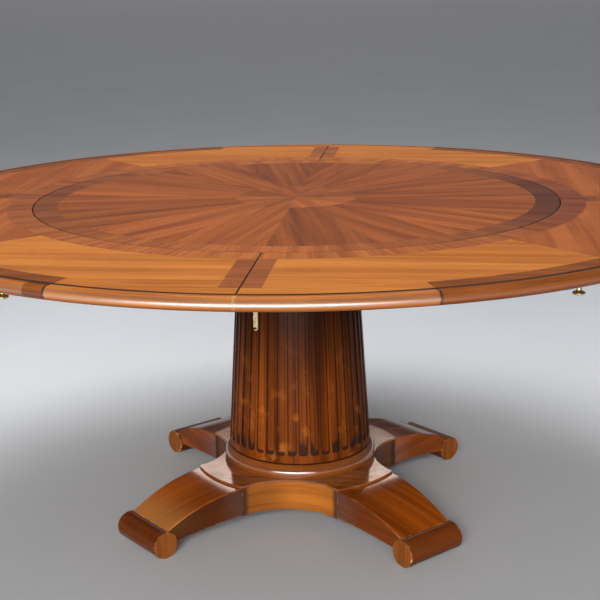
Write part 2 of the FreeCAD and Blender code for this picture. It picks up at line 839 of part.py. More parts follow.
def base():
    half_width = S.leg_width / 2
    leg_root = across(S.plate_radius, half_width)
    corner = turned((leg_root, half_width), -EIGHTH_TURN)
    sagitta = corner[0] - S.scallop_reach
    scallop_radius = (corner[1] * corner[1] + sagitta * sagitta) / (2 * sagitta)
    scallop_centre = (S.scallop_reach + scallop_radius, ZERO)

    def base_outline(sketch, rounded_roots):
        corners = []
        arcs = {}
        for quarter in range(len(QUARTERS)):
            turn = QUARTER_TURN * quarter
            if rounded_roots:
                arcs[len(corners)] = ((0, 0), True)
            corners.append(turned((leg_root, -half_width), turn))
            arcs[len(corners)] = (turned(scallop_centre, turn + EIGHTH_TURN), False)
            corners.append(turned((leg_root, half_width), turn))
        draw_outline(sketch, corners, arcs)
        draw_circle(sketch, (0, 0), rod_hole)

    plate = new_body("base_plate", EIGHTH_TURN)
    outline = new_sketch(plate, "XY_Plane", hub_top)
    base_outline(outline, True)
    pad(plate, outline, S.plate_thickness)

    hub = new_body("base_hub", EIGHTH_TURN)
    outline = new_sketch(hub, "XY_Plane", hub_bottom)
    base_outline(outline, False)
    pad(hub, outline, S.hub_height)
    recess = new_sketch(hub, "XY_Plane", hub_bottom)
    draw_circle(recess, (0, 0), recess_radius)
    pocket(hub, recess, recess_depth, reverse=True)
    tenon_low = (hub_top + hub_bottom - S.tenon_height) / 2
    tenon_high = tenon_low + S.tenon_height
    tenon_tip = leg_root - S.tenon_length
    mortise = new_sketch(hub, "XZ_Plane")
    draw_outline(mortise, rectangle((tenon_tip, tenon_low), (leg_root + S.overrun, tenon_high)))
    mortises = pocket(hub, mortise, S.tenon_width, symmetric=True)
    polar_pattern(hub, [mortises], len(QUARTERS))
    nodes.extend([plate, hub])

    scroll_centre = (S.foot_reach, S.scroll_radius - S.scroll_flat)

    def on_scroll(angle):
        return (
            scroll_centre[0] + S.scroll_radius * cosine(angle),
            scroll_centre[1] + S.scroll_radius * sine(angle),
        )

    def sweep_radius(run, drop):
        """Radius of an arc that starts level and falls by drop over run."""
        return (run * run + drop * drop) / (2 * drop)

    upper = on_scroll(S.scroll_top_angle)
    under = on_scroll(S.scroll_under_angle)
    top_sweep = sweep_radius(upper[0] - leg_root, hub_top - upper[1])
    under_sweep = sweep_radius(under[0] - leg_root, hub_bottom - under[1])
    leg = new_body("leg", EIGHTH_TURN)
    profile = new_sketch(leg, "XZ_Plane")
    draw_outline(
        profile,
        [(leg_root, hub_bottom), under, upper, (leg_root, hub_top)],
        {
            0: ((leg_root, hub_bottom - under_sweep), False),
            1: (scroll_centre, False),
            2: ((leg_root, hub_top - top_sweep), True),
        },
    )
    pad(leg, profile, S.leg_width, symmetric=True)
    foot_half = S.leg_foot_width / 2
    narrowing = new_sketch(leg, "XY_Plane")
    for side in (1, -1):
        waste = [(leg_root, half_width), (S.foot_reach, foot_half), (S.foot_reach, half_width)]
        draw_outline(narrowing, [(x, side * y) for x, y in waste])
    narrowed = pocket(leg, narrowing, hub_top, reverse=True)

    def along_sweep(edge):
        off_centre = abs(edge.CenterOfMass.y) > foot_half.value - S.leg_arris.value
        return off_centre and edge.Length > S.leg_foot_width.value

    bevel_edges(leg, narrowed, along_sweep, S.leg_arris)
    tenon = new_sketch(leg, "XZ_Plane")
    draw_outline(tenon, rectangle((tenon_tip, tenon_low), (leg_root, tenon_high)))
    pad(leg, tenon, S.tenon_width, symmetric=True)
    in_each_quarter("leg", [leg])

    half_length = S.scroll_length / 2
    shoulder = half_length - S.scroll_arris
    face_radius = S.scroll_radius - S.scroll_arris
    scroll = turned_body(
        "scroll",
        [
            (0, -half_length),
            (face_radius, -half_length),
            (S.scroll_radius, -shoulder),
            (S.scroll_radius, shoulder),
            (face_radius, half_length),
            (0, half_length),
        ],
    )
    flat = new_sketch(scroll, "XY_Plane")
    below = -S.scroll_radius - S.overrun
    draw_outline(flat, rectangle((-S.scroll_radius, below), (S.scroll_radius, -scroll_centre[1])))
    pocket(scroll, flat, S.scroll_length + S.overrun, symmetric=True)
    lying = FreeCAD.Rotation(FreeCAD.Vector(0, 1, 1), FULL_TURN / 2)
    scroll.Placement = FreeCAD.Placement(ORIGIN, FreeCAD.Rotation(UP, EIGHTH_TURN).multiply(lying))
    bind(scroll, "Placement.Base.x", S.foot_reach * cosine(EIGHTH_TURN))
    bind(scroll, "Placement.Base.y", S.foot_reach * sine(EIGHTH_TURN))
    bind(scroll, "Placement.Base.z", scroll_centre[1])
    nodes.append(ring_of("foot_scrolls", [scroll], len(QUARTERS)))


def tie_rod():
    low_seat = hub_bottom + recess_depth
    high_seat = top_underside - recess_depth
    nut_gap = S.washer_thickness + S.nut_height
    rod = doc.addObject("Part::Cylinder", "tie_rod")
    bind(rod, "Radius", S.rod_radius)
    bind(rod, "Height", high_seat - low_seat + 2 * (nut_gap + S.rod_tail))
    bind(rod, "Placement.Base.z", low_seat - nut_gap - S.rod_tail)
    nodes.append(rod)

    def washer(label, bottom):
        body = new_body(label)
        sketch = new_sketch(body, "XY_Plane", bottom)
        draw_circle(sketch, (0, 0), S.washer_radius)
        draw_circle(sketch, (0, 0), S.rod_radius)
        pad(body, sketch, S.washer_thickness)
        return body

    def nut(label, bottom):
        body = new_body(label)
        sketch = new_sketch(body, "XY_Plane", bottom)
        corner = (NUT_CORNER_SHARE * S.nut_flats / 2, ZERO)
        draw_outline(sketch, [turned(corner, angle) for angle in range(0, FULL_TURN, HEX_TURN)])
        draw_circle(sketch, (0, 0), S.rod_radius)
        pad(body, sketch, S.nut_height)
        return body

    washers = [washer("low_washer", low_seat - S.washer_thickness), washer("high_washer", high_seat)]
    nuts = [nut("low_nut", low_seat - nut_gap), nut("high_nut", high_seat + S.washer_thickness)]
    nodes.append(set_of("tie_rod_washers", washers))
    nodes.append(set_of("tie_rod_nuts", nuts))


disc_top()
leaves()
seam_catches()
lopers()
column()
base()
tie_rod()
doc.recompute()

# Nothing is written unless every object is sound
for item in doc.Objects:
    if "Invalid" in item.State or "Error" in item.State:
        raise RuntimeError(f"{item.Label} failed: {item.State}")
for node in nodes:
    if node.Shape.isNull() or not node.Shape.isValid():
        raise RuntimeError(f"{node.Label} has no valid shape")

os.makedirs("parts", exist_ok=True)
for node in nodes:
    node.Shape.exportStep(f"parts/{node.Label}.step")
    print(node.Label, len(node.Shape.Solids), "solids", round(node.Shape.Volume))
print(len(nodes), "nodes")
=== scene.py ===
import math

import bpy
from mathutils import Euler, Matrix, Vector


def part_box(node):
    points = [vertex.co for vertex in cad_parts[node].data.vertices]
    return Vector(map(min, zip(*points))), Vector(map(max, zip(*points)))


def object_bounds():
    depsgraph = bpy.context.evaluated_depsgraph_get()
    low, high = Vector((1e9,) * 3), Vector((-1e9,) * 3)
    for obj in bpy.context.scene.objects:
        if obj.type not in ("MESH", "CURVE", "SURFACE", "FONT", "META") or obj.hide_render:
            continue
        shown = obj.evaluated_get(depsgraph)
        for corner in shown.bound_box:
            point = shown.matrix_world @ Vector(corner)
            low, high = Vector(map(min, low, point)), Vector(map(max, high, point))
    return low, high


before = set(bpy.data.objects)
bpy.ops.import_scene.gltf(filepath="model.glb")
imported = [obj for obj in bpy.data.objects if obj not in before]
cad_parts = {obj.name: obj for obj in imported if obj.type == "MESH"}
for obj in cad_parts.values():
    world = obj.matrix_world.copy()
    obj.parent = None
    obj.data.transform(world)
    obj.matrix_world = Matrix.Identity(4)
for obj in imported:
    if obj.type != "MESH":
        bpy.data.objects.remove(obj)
cad_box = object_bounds()

# Sizes, in metres, most of them read from the frame
TOP_HEIGHT = cad_box[1].z
TOP_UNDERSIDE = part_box("disc_core")[0].z
RIM_RADIUS = cad_box[1].x
DISC_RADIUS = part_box("disc_core")[1].x
STRING_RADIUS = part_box("leaf_string_back_right")[1].x
NOSE_WIDTH = RIM_RADIUS - STRING_RADIUS
INNER_BAND = 0.055
OUTER_BAND = 0.043
STRING_WIDTH = 0.0035
FIELD_START = DISC_RADIUS + INNER_BAND
STRING_START = STRING_RADIUS - STRING_WIDTH
FIELD_END = STRING_START - OUTER_BAND
COLUMN_LOW, COLUMN_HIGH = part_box("column_shaft")
COLUMN_FOOT_RADIUS = COLUMN_HIGH.x
COLUMN_HEAD_RADIUS = 0.138
FLUTE_COUNT = 40
FLUTE_DEPTH = 0.003
FLUTE_MARGIN = 0.018
FLUTE_SHARE = 0.74
NECK_DEPTH = 0.0045
HUB_RADIUS = 0.2
LEG_ROOT = 0.240
SCROLL_RADIUS = 0.031
SCROLL_LENGTH = 0.157
SCROLL_REACH = 0.4465
SCROLL_HEIGHT = 0.0302

# Counts and angles of the veneers
WEDGE_COUNT = 16
WEDGE_ANGLE = math.tau / WEDGE_COUNT
MEDALLION_WEDGE_COUNT = 8
MEDALLION_WEDGE_ANGLE = math.tau / MEDALLION_WEDGE_COUNT
BAND_JOINT_ANGLE = math.radians(20.5)
EIGHTH_TURN = math.tau / 8


# Shader expressions

class Shade:
    """A shader value. Arithmetic on it adds Math nodes to the finish that it belongs to."""

    def __init__(self, finish, socket):
        self.finish = finish
        self.socket = socket

    def math(self, operation, *values):
        return self.finish.node("ShaderNodeMath", {"operation": operation}, values)

    def __add__(self, other):
        return self.math("ADD", self, other)

    def __sub__(self, other):
        return self.math("SUBTRACT", self, other)

    def __rsub__(self, other):
        return self.math("SUBTRACT", other, self)

    def __mul__(self, other):
        return self.math("MULTIPLY", self, other)

    def __truediv__(self, other):
        return self.math("DIVIDE", self, other)

    def __pow__(self, power):
        return self.math("POWER", self, power)

    def __gt__(self, other):
        return self.math("GREATER_THAN", self, other)

    def __lt__(self, other):
        return self.math("LESS_THAN", self, other)

    def __abs__(self):
        return self.math("ABSOLUTE", self)

    __radd__ = __add__
    __rmul__ = __mul__

    def floor(self):
        return self.math("FLOOR", self)

    def sign(self):
        return self.math("SIGN", self)

    def sine(self):
        return self.math("SINE", self)

    def cosine(self):
        return self.math("COSINE", self)

    def there_and_back(self, reach):
        return self.math("PINGPONG", self, reach)

    def ramp(self, low, high):
        """0 at low, 1 at high and beyond, smooth between them."""
        return self.finish.node(
            "ShaderNodeMapRange", {"interpolation_type": "SMOOTHSTEP"}, (self, low, high, 0.0, 1.0)
        )


class Finish:
    """A material whose nodes are written as expressions on the piece's own coordinates."""

    def __init__(self, name, **constants):
        self.material = bpy.data.materials.new(name)
        self.material.use_nodes = True
        self.tree = self.material.node_tree
        self.shader = self.tree.nodes["Principled BSDF"]
        self.put(**constants)
        place = self.node("ShaderNodeTexCoord", output="Object")
        self.x, self.y, self.z = (
            self.node("ShaderNodeSeparateXYZ", {}, (place,), axis) for axis in ("X", "Y", "Z")
        )

    def node(self, kind, settings=None, sockets=(), output=0):
        """Adds a node: settings first, then a value or link for each socket, by name or in order."""
        made = self.tree.nodes.new(kind)
        for setting, value in (settings or {}).items():
            setattr(made, setting, value)
        wanted = sockets.items() if isinstance(sockets, dict) else enumerate(sockets)
        for key, value in wanted:
            self.feed(made.inputs[key], value)
        return Shade(self, made.outputs[output])

    def feed(self, socket, value):
        if isinstance(value, Shade):
            self.tree.links.new(value.socket, socket)
        else:
            socket.default_value = value

    def put(self, **values):
        """Feeds the shader's sockets."""
        for socket, value in values.items():
            self.feed(self.shader.inputs[socket.replace("_", " ")], value)
        return self.material

    def mix(self, share, first, second, blend="MIX"):
        """Colour between two colours."""
        settings = {"data_type": "RGBA", "blend_type": blend}
        colours = {6: rgba(first), 7: rgba(second)}
        return self.node("ShaderNodeMix", settings, {0: share, **colours}, 2)

    def tinted(self, colour, share):
        """Colour made darker or lighter."""
        grey = self.node("ShaderNodeCombineXYZ", {}, (share, share, share))
        return self.mix(1.0, colour, grey, "MULTIPLY")

    def between(self, share, first, second):
        """Number between two numbers."""
        return self.node("ShaderNodeMix", {"data_type": "FLOAT"}, {0: share, 2: first, 3: second})

    def noise(self, along, across, deep, detail, roughness=0.55):
        place = self.node("ShaderNodeCombineXYZ", {}, (along, across, deep))
        sockets = {"Vector": place, "Scale": 1.0, "Detail": detail, "Roughness": roughness}
        return self.node("ShaderNodeTexNoise", {}, sockets, "Fac")

    def blotches(self, size, height, detail, roughness=0.55):
        """Noise whose blotches have a size across the floor and a height."""
        return self.noise(self.x / size, self.y / size, self.z / height, detail, roughness)

    def specks(self, size, detail, roughness=0.55):
        """Noise whose blotches are as high as they are wide."""
        return self.blotches(size, size, detail, roughness)

    def scatter(self, number):
        """A random share for each whole number."""
        settings = {"noise_dimensions": "1D"}
        return self.node("ShaderNodeTexWhiteNoise", settings, {"W": number}, "Value")

    def bump(self, height, distance):
        """Normal of a surface whose relief is hardly felt."""
        sockets = {"Strength": 0.05, "Distance": distance, "Height": height}
        return self.node("ShaderNodeBump", {}, sockets, "Normal")

    def radius(self):
        return (self.x * self.x + self.y * self.y) ** 0.5

    def angle(self):
        return self.x.math("ARCTAN2", self.y, self.x)

    def at_side(self):
        """1 in the quarters of the table at its left and right, 0 in those in front and behind."""
        return abs(self.x) > abs(self.y)

    def front_left(self):
        return (self.x < 0.0) * (self.y < 0.0)


def rgba(colour):
    return colour if isinstance(colour, Shade) else (*colour, 1.0)


# Dirt, wear and painted shade

# Width of the dark lines: painted shade in the gap round the disc and along the seams, and the dark
# band on each side of the ebony string
DARK_LINE_WIDTH = 0.0013
# Near-black: painted shade in the gaps, seams and neck groove, and the dark joints and the band beside
# the ebony string
SHADE_AND_DIRT_COLOUR = (0.016, 0.007, 0.004)
NOSE_RUBBED = (0.72, 0.45, 0.18)
# Painted shade on the lower half of the nose
NOSE_UNDERSIDE_SHADE = (0.11, 0.022, 0.001)
# Painted shade along the edges of the flutes
FLUTE_EDGE_SHADE = (0.012, 0.005, 0.003)
FLUTE_STAIN = (0.012, 0.009, 0.008)
COLUMN_WORN = (0.42, 0.13, 0.018)
# Painted shadow of the top on the upper column
COLUMN_SHADE = (0.012, 0.004, 0.002)
ARRIS_RUBBED = (0.5, 0.27, 0.1)
HUB_SIDE_SHADE = (0.06, 0.026, 0.014)
HUB_LEFT_SHADE = (0.1, 0.032, 0.008)
HUB_JOINT_SHADE = (0.035, 0.016, 0.01)
# Pale patch near the front left roll: painted highlight and wear
LEG_HIGHLIGHT_AND_WEAR = (0.42, 0.19, 0.05)
LEG_FLANK_SHADE = (0.025, 0.006, 0.001)
LEG_JOINT_DIRT = (0.02, 0.008, 0.004)
LEG_RUBBED = (0.55, 0.33, 0.14)
SCROLL_RUBBED = (0.6, 0.4, 0.2)


def worn_edge(finish, reach):
    """1 on the arrises of a piece, broken up into rubbed patches."""
    rounded = finish.node("ShaderNodeBevel", {"samples": 4}, {"Radius": reach})
    flat = finish.node("ShaderNodeNewGeometry", output="True Normal")
    settings = {"operation": "DOT_PRODUCT"}
    meeting = finish.node("ShaderNodeVectorMath", settings, (rounded, flat), "Value")
    patch = finish.specks(size=0.025, detail=5.0, roughness=0.7)
    return (1 - meeting).ramp(0.03, 0.16) * patch.ramp(0.45, 0.67)


# Wood

GLOSS = {"Specular_IOR_Level": 0.25, "Coat_Weight": 0.25, "Coat_Roughness": 0.03}
SEMI_GLOSS = {"Specular_IOR_Level": 0.12, "Coat_Weight": 0.1, "Coat_Roughness": 0.12}
SATIN = {"Specular_IOR_Level": 0.35, "Coat_Weight": 0.0}

PORE_LENGTH = 0.02
PORE_WIDTH = 0.0009


class Grain:
    """Figure of a sheet or board: bands, streaks and hairs drawn out along the grain, and pores."""

    # Each layer of the figure is cut from the noise at its own depth
    DRIFT_DEPTH, STREAK_DEPTH, HAIR_DEPTH, PORE_DEPTH = 3.7, 11.3, 23.1, 31.9

    def __init__(self, finish, along, across, sheet, streak, length, wander):
        self.finish = finish
        drift = finish.noise(along / length, across / (6 * streak), sheet + self.DRIFT_DEPTH, 2.0) - 0.5
        bent = across + wander * drift
        band = finish.noise(along / (2 * length), bent / (4 * streak), sheet, 2.0)
        line = finish.noise(along / length, bent / streak, sheet + self.STREAK_DEPTH, 4.0, 0.65)
        hair = finish.noise(
            along / (0.3 * length), bent / (0.16 * streak), sheet + self.HAIR_DEPTH, 2.0
        )
        self.tone = (0.5 * band + 0.35 * line + 0.15 * hair).ramp(0.34, 0.66)
        dash = finish.noise(along / PORE_LENGTH, bent / PORE_WIDTH, sheet + self.PORE_DEPTH, 1.0)
        self.pore = dash.ramp(0.62, 0.74)

    def colour(self, dark, light, pore_share=0.35):
        wood = self.finish.mix(self.tone, dark, light)
        return self.finish.mix(self.pore * pore_share, wood, dark, "MULTIPLY")


def lacquer(finish, colour, grain, rough=0.07, spread=0.05, lift=0.0):
    """Polished surface over the wood: faint smears in the gloss and hardly felt pores."""
    smear = finish.specks(size=0.11, detail=4.0)
    rough_now = rough + spread * (smear - 0.4) + lift
    ripple = finish.specks(size=0.03, detail=2.0)
    normal = finish.bump(ripple * 0.5 - 0.5 * grain.pore, distance=0.002)
    return finish.put(Base_Color=colour, Roughness=rough_now, Normal=normal)


# Veneers of the top

def wedge_grain(finish, wedge_angle, streak):
    """Straight grain down each wedge of a ring, opened like a book at every joint."""
    turn = finish.angle() + math.pi
    from_middle = turn.there_and_back(wedge_angle) - wedge_angle / 2
    number = (turn / wedge_angle).floor()
    radius = finish.radius()
    along = radius * from_middle.cosine()
    across = radius * from_middle.sine()
    grain = Grain(finish, along, across, sheet=number * 0.21, streak=streak, length=0.5, wander=0.02)
    return grain, number


def sunburst_veneer():
    finish = Finish("sunburst_veneer", **GLOSS)
    grain, number = wedge_grain(finish, WEDGE_ANGLE, streak=0.013)
    wood = grain.colour(dark=(0.145, 0.032, 0.009), light=(0.365, 0.099, 0.022))
    wood = finish.tinted(wood, 0.82 + 0.36 * finish.scatter(number))
    return lacquer(finish, wood, grain)


def medallion_veneer():
    finish = Finish("medallion_veneer", **GLOSS)
    grain, number = wedge_grain(finish, MEDALLION_WEDGE_ANGLE, streak=0.008)
    wood = grain.colour(dark=(0.17, 0.04, 0.012), light=(0.405, 0.114, 0.029))
    wood = finish.tinted(wood, 0.8 + 0.35 * finish.scatter(number))
    return lacquer(finish, wood, grain)


def painted_side_shade(finish):
    """Share of painted shade on the top: 0 at the front and back, about two thirds at its left and 1 at
    its right.
    """
    across = finish.x / finish.radius()
    return across * across * (0.84 + 0.16 * across.sign())


def disc_crossband():
    """Border of the disc, its grain across the band, darkened by painted shade on the two sides and in
    the gap round its edge.
    """
    finish = Finish("disc_crossband", **GLOSS)
    radius = finish.radius()
    turn = finish.angle()
    number = (turn / WEDGE_ANGLE).floor()
    grain = Grain(
        finish, radius, turn * DISC_RADIUS, sheet=number * 0.3,
        streak=0.008, length=0.2, wander=0.006,
    )
    # Painted shade: the band darker at the sides of the top than at its front and back
    side_shade = painted_side_shade(finish)
    dark = finish.mix(side_shade, (0.25, 0.064, 0.016), (0.066, 0.017, 0.009))
    light = finish.mix(side_shade, (0.44, 0.132, 0.031), (0.13, 0.036, 0.016))
    wood = finish.mix(grain.tone, dark, light)
    # Painted shade in the gap round the disc, stronger at the sides
    gap_shade = radius.ramp(DISC_RADIUS - 2 * DARK_LINE_WIDTH, DISC_RADIUS - DARK_LINE_WIDTH)
    wood = finish.mix(gap_shade * (0.45 + 0.5 * side_shade), wood, SHADE_AND_DIRT_COLOUR)
    return lacquer(finish, wood, grain)


def seam_coordinates(finish):
    """Grain of a leaf runs square to its nearest seam: along it, across it, and which sheet it is."""
    at_side = finish.at_side()
    along = finish.between(at_side, finish.x, finish.y)
    across = finish.between(at_side, finish.y, finish.x)
    sheet = finish.x.sign() * 1.3 + finish.y.sign() * 2.9 + at_side * 7.1
    return along, across, sheet, at_side


def field_veneer():
    finish = Finish("field_veneer", **GLOSS)
    along, across, sheet, at_side = seam_coordinates(finish)
    grain = Grain(finish, along, across, sheet, streak=0.011, length=0.6, wander=0.016)
    # The same veneer twice: lit at the front and back of the top, in painted shade at its left and
    # right
    front = grain.colour(dark=(0.36, 0.098, 0.013), light=(0.6, 0.21, 0.035), pore_share=0.2)
    side_shade = grain.colour(dark=(0.235, 0.054, 0.011), light=(0.415, 0.114, 0.025), pore_share=0.2)
    cloud = finish.noise(finish.x / 0.16, finish.y / 0.07, sheet, 3.0)
    wood = finish.tinted(finish.mix(at_side, front, side_shade), 0.8 + 0.4 * cloud)
    return lacquer(finish, wood, grain)


def leaf_crossband():
    """Bands round a leaf: grain across the inner and seam bands and along the outer band."""
    finish = Finish("leaf_crossband", **GLOSS)
    radius = finish.radius()
    turn = finish.angle()
    along, across, sheet, at_side = seam_coordinates(finish)
    inner = radius < FIELD_START
    outer = radius > FIELD_END
    from_seam = abs(turn).there_and_back(EIGHTH_TURN)
    middle = (from_seam > BAND_JOINT_ANGLE) * outer
    straight = finish.between(inner, along, radius)
    crosswise = finish.between(inner, across, turn * FIELD_START)
    sheet = sheet + middle * 5.3 + inner * 2.2
    grain = Grain(finish, straight, crosswise, sheet, streak=0.009, length=0.3, wander=0.008)
    side_shade = painted_side_shade(finish)
    # Painted shade: the inner band darker at the sides of the top
    inner_dark = finish.mix(side_shade, (0.29, 0.074, 0.016), (0.13, 0.031, 0.013))
    inner_light = finish.mix(side_shade, (0.49, 0.15, 0.034), (0.27, 0.068, 0.025))
    # Painted shade: the seam strips darker at the left and right of the top
    strip_dark = finish.mix(at_side, (0.2, 0.05, 0.015), (0.16, 0.04, 0.013))
    strip_light = finish.mix(at_side, (0.36, 0.104, 0.027), (0.3, 0.082, 0.024))
    rim_dark = finish.mix(middle, (0.36, 0.098, 0.013), (0.15, 0.036, 0.006))
    rim_light = finish.mix(middle, (0.58, 0.2, 0.034), (0.28, 0.08, 0.013))
    dark = finish.mix(outer, finish.mix(inner, strip_dark, inner_dark), rim_dark)
    light = finish.mix(outer, finish.mix(inner, strip_light, inner_light), rim_light)
    wood = finish.mix(grain.tone, dark, light)
    # Painted shade in the gap round the disc, stronger at the sides, and along the seams
    gap_shade = 1 - radius.ramp(DISC_RADIUS + DARK_LINE_WIDTH, DISC_RADIUS + 2 * DARK_LINE_WIDTH)
    seam = 1 - abs(along).ramp(DARK_LINE_WIDTH, 1.8 * DARK_LINE_WIDTH)
    string = radius.ramp(STRING_START - 3 * DARK_LINE_WIDTH, STRING_START - DARK_LINE_WIDTH)
    wood = finish.mix(gap_shade * (0.45 + 0.5 * side_shade), wood, SHADE_AND_DIRT_COLOUR)
    wood = finish.mix(seam * 0.8, wood, SHADE_AND_DIRT_COLOUR)
    wood = finish.mix(string * 0.9, wood, SHADE_AND_DIRT_COLOUR)
    return lacquer(finish, wood, grain)


def ebony_string():
    finish = Finish("ebony_string", **SEMI_GLOSS)
    along = finish.angle() * RIM_RADIUS
    grain = Grain(finish, along, finish.radius(), sheet=4.4, streak=0.002, length=0.1, wander=0.001)
    wood = grain.colour(dark=(0.012, 0.008, 0.006), light=(0.05, 0.028, 0.016))
    return lacquer(finish, wood, grain)


STAIN_PATCH = 0.045
STAIN_EDGE = 0.001


def edge_moulding():
    """Bullnose with its grain along the rim, rubbed pale where the leaves meet.

    The middle length of each leaf is stained dark; at the front left the stain soon fades.
    The coat's index is far above a real lacquer's, to draw a broad white band on the shoulder.
    """
    finish = Finish("edge_moulding", Specular_IOR_Level=0.3, Coat_Roughness=0.34, Coat_IOR=4.0)
    turn = finish.angle()
    from_seam = abs(turn).there_and_back(EIGHTH_TURN)
    middle = from_seam > BAND_JOINT_ANGLE
    sheet = finish.x.sign() * 1.9 + finish.y.sign() * 3.1 + middle * 6.7
    to_seam = from_seam * RIM_RADIUS
    joint_place = BAND_JOINT_ANGLE * RIM_RADIUS
    patch_end = joint_place + STAIN_PATCH
    beyond_patch = to_seam.ramp(patch_end - STAIN_EDGE, patch_end + STAIN_EDGE)
    stained = middle * (1 - 0.8 * finish.front_left() * beyond_patch)
    from_string = finish.radius() - STRING_RADIUS
    around = finish.z + 0.6 * finish.radius()
    grain = Grain(
        finish, turn * RIM_RADIUS, around, sheet, streak=0.004, length=0.3, wander=0.003
    )
    dark = finish.mix(stained, (0.27, 0.078, 0.013), (0.1, 0.022, 0.003))
    light = finish.mix(stained, (0.52, 0.18, 0.032), (0.27, 0.075, 0.01))
    wood = finish.mix(grain.tone, dark, light)
    rubbed = 1 - to_seam.ramp(0.0012, 0.0028)
    joint = 1 - abs(to_seam - joint_place).ramp(0.0006, 0.004)
    groove = 0.9 - 0.9 * from_string.ramp(2 * DARK_LINE_WIDTH, 3.5 * DARK_LINE_WIDTH)
    up = (finish.z - TOP_UNDERSIDE) / (TOP_HEIGHT - TOP_UNDERSIDE)
    # Painted shade darkening the lower half of the nose
    underside_shade = 0.75 - 0.75 * up.ramp(0.05, 0.5)
    wood = finish.mix(rubbed * 0.7, wood, NOSE_RUBBED)
    wood = finish.mix(joint * 0.85, wood, SHADE_AND_DIRT_COLOUR)
    wood = finish.mix(groove, wood, SHADE_AND_DIRT_COLOUR)
    wood = finish.mix(underside_shade, wood, NOSE_UNDERSIDE_SHADE)
    shoulder = from_string.ramp(0.68 * NOSE_WIDTH, 0.88 * NOSE_WIDTH) * up.ramp(0.28, 0.52)
    finish.put(Coat_Weight=shoulder * (1 - 0.7 * stained))
    return lacquer(finish, wood, grain, rough=0.12)


# Wood of the pedestal

def column_wood():
    """Fluted shaft: painted shade along the edges of the flutes, black stains at their feet, and a
    painted shadow of the top darkening it above.
    """
    finish = Finish("column_wood", Specular_IOR_Level=0.06, Coat_Weight=0.02, Coat_Roughness=0.2)
    turn = finish.angle()
    rise = (finish.z - COLUMN_LOW.z) / (COLUMN_HIGH.z - COLUMN_LOW.z)
    face = COLUMN_FOOT_RADIUS + (COLUMN_HEAD_RADIUS - COLUMN_FOOT_RADIUS) * rise
    sunk = (face - finish.radius()).ramp(0.2 * FLUTE_DEPTH, 0.7 * FLUTE_DEPTH)
    from_middle = (turn * (FLUTE_COUNT / math.pi)).there_and_back(1.0)
    number = (turn * (FLUTE_COUNT / math.tau) + 0.5).floor()
    around = turn * COLUMN_FOOT_RADIUS
    grain = Grain(
        finish, finish.z, around, sheet=number * 0.17, streak=0.012, length=0.5, wander=0.012
    )
    wood = grain.colour(dark=(0.053, 0.01, 0.001), light=(0.22, 0.05, 0.005))
    wood = finish.tinted(wood, 0.82 + 0.36 * finish.scatter(number))
    soot = finish.blotches(size=0.05, height=0.16, detail=4.0).ramp(0.3, 0.7)
    above_foot = finish.z - COLUMN_LOW.z - FLUTE_MARGIN
    # Painted shade along both edges of each flute
    edge_shade = 1 - abs(from_middle - 0.95 * FLUTE_SHARE).ramp(0.03, 0.16)
    line = edge_shade * above_foot.ramp(0.0, 0.01)
    stain_reach = 0.004 + 0.06 * finish.scatter(number + 51.0) * soot
    stain = 1 - (above_foot / stain_reach).ramp(0.75, 1.35)
    worn = finish.blotches(size=0.04, height=0.05, detail=4.0).ramp(0.55, 0.75)
    wood = finish.mix(line * (0.6 + 0.35 * soot), wood, FLUTE_EDGE_SHADE)
    wood = finish.mix(0.45 * worn * (1 - rise.ramp(0.2, 0.7)), wood, COLUMN_WORN)
    # Painted shadow of the top: darker towards the head of the column
    wood = finish.mix(0.8 * rise.ramp(0.2, 0.8), wood, COLUMN_SHADE)
    wood = finish.mix(sunk * stain * 0.85, wood, FLUTE_STAIN)
    return lacquer(finish, wood, grain, rough=0.26, spread=0.12, lift=0.12 * sunk)


def turned_base_wood():
    """Torus and neck under the column, with painted shade in the groove of the neck."""
    finish = Finish("turned_base_wood", Specular_IOR_Level=0.35, Coat_Roughness=0.12, Coat_IOR=2.2)
    along = finish.angle() * COLUMN_FOOT_RADIUS
    across = finish.z + finish.radius()
    grain = Grain(finish, along, across, sheet=2.0, streak=0.008, length=0.4, wander=0.006)
    wood = grain.colour(dark=(0.098, 0.023, 0.003), light=(0.28, 0.077, 0.011))
    neck = (finish.z - COLUMN_LOW.z + NECK_DEPTH).ramp(0.0, NECK_DEPTH / 3)
    # Painted shade in the groove of the neck
    wood = finish.mix(neck * 0.8, wood, SHADE_AND_DIRT_COLOUR)
    finish.put(Coat_Weight=1 - 0.95 * neck)
    return lacquer(finish, wood, grain, rough=0.16)


def plate_wood():
    finish = Finish("plate_wood", Specular_IOR_Level=0.35, Coat_Roughness=0.1, Coat_IOR=1.75)
    across = finish.y + finish.z
    grain = Grain(finish, finish.x, across, sheet=5.0, streak=0.012, length=0.4, wander=0.01)
    wood = grain.colour(dark=(0.13, 0.035, 0.009), light=(0.32, 0.1, 0.026))
    wood = finish.mix(worn_edge(finish, 0.0015) * 0.6, wood, ARRIS_RUBBED)
    rubbed = finish.noise(finish.x / 0.07, finish.y / 0.07, 3.0, 3.0).ramp(0.35, 0.65)
    finish.put(Coat_Weight=1 - 0.5 * rubbed)
    return lacquer(finish, wood, grain, rough=0.15)


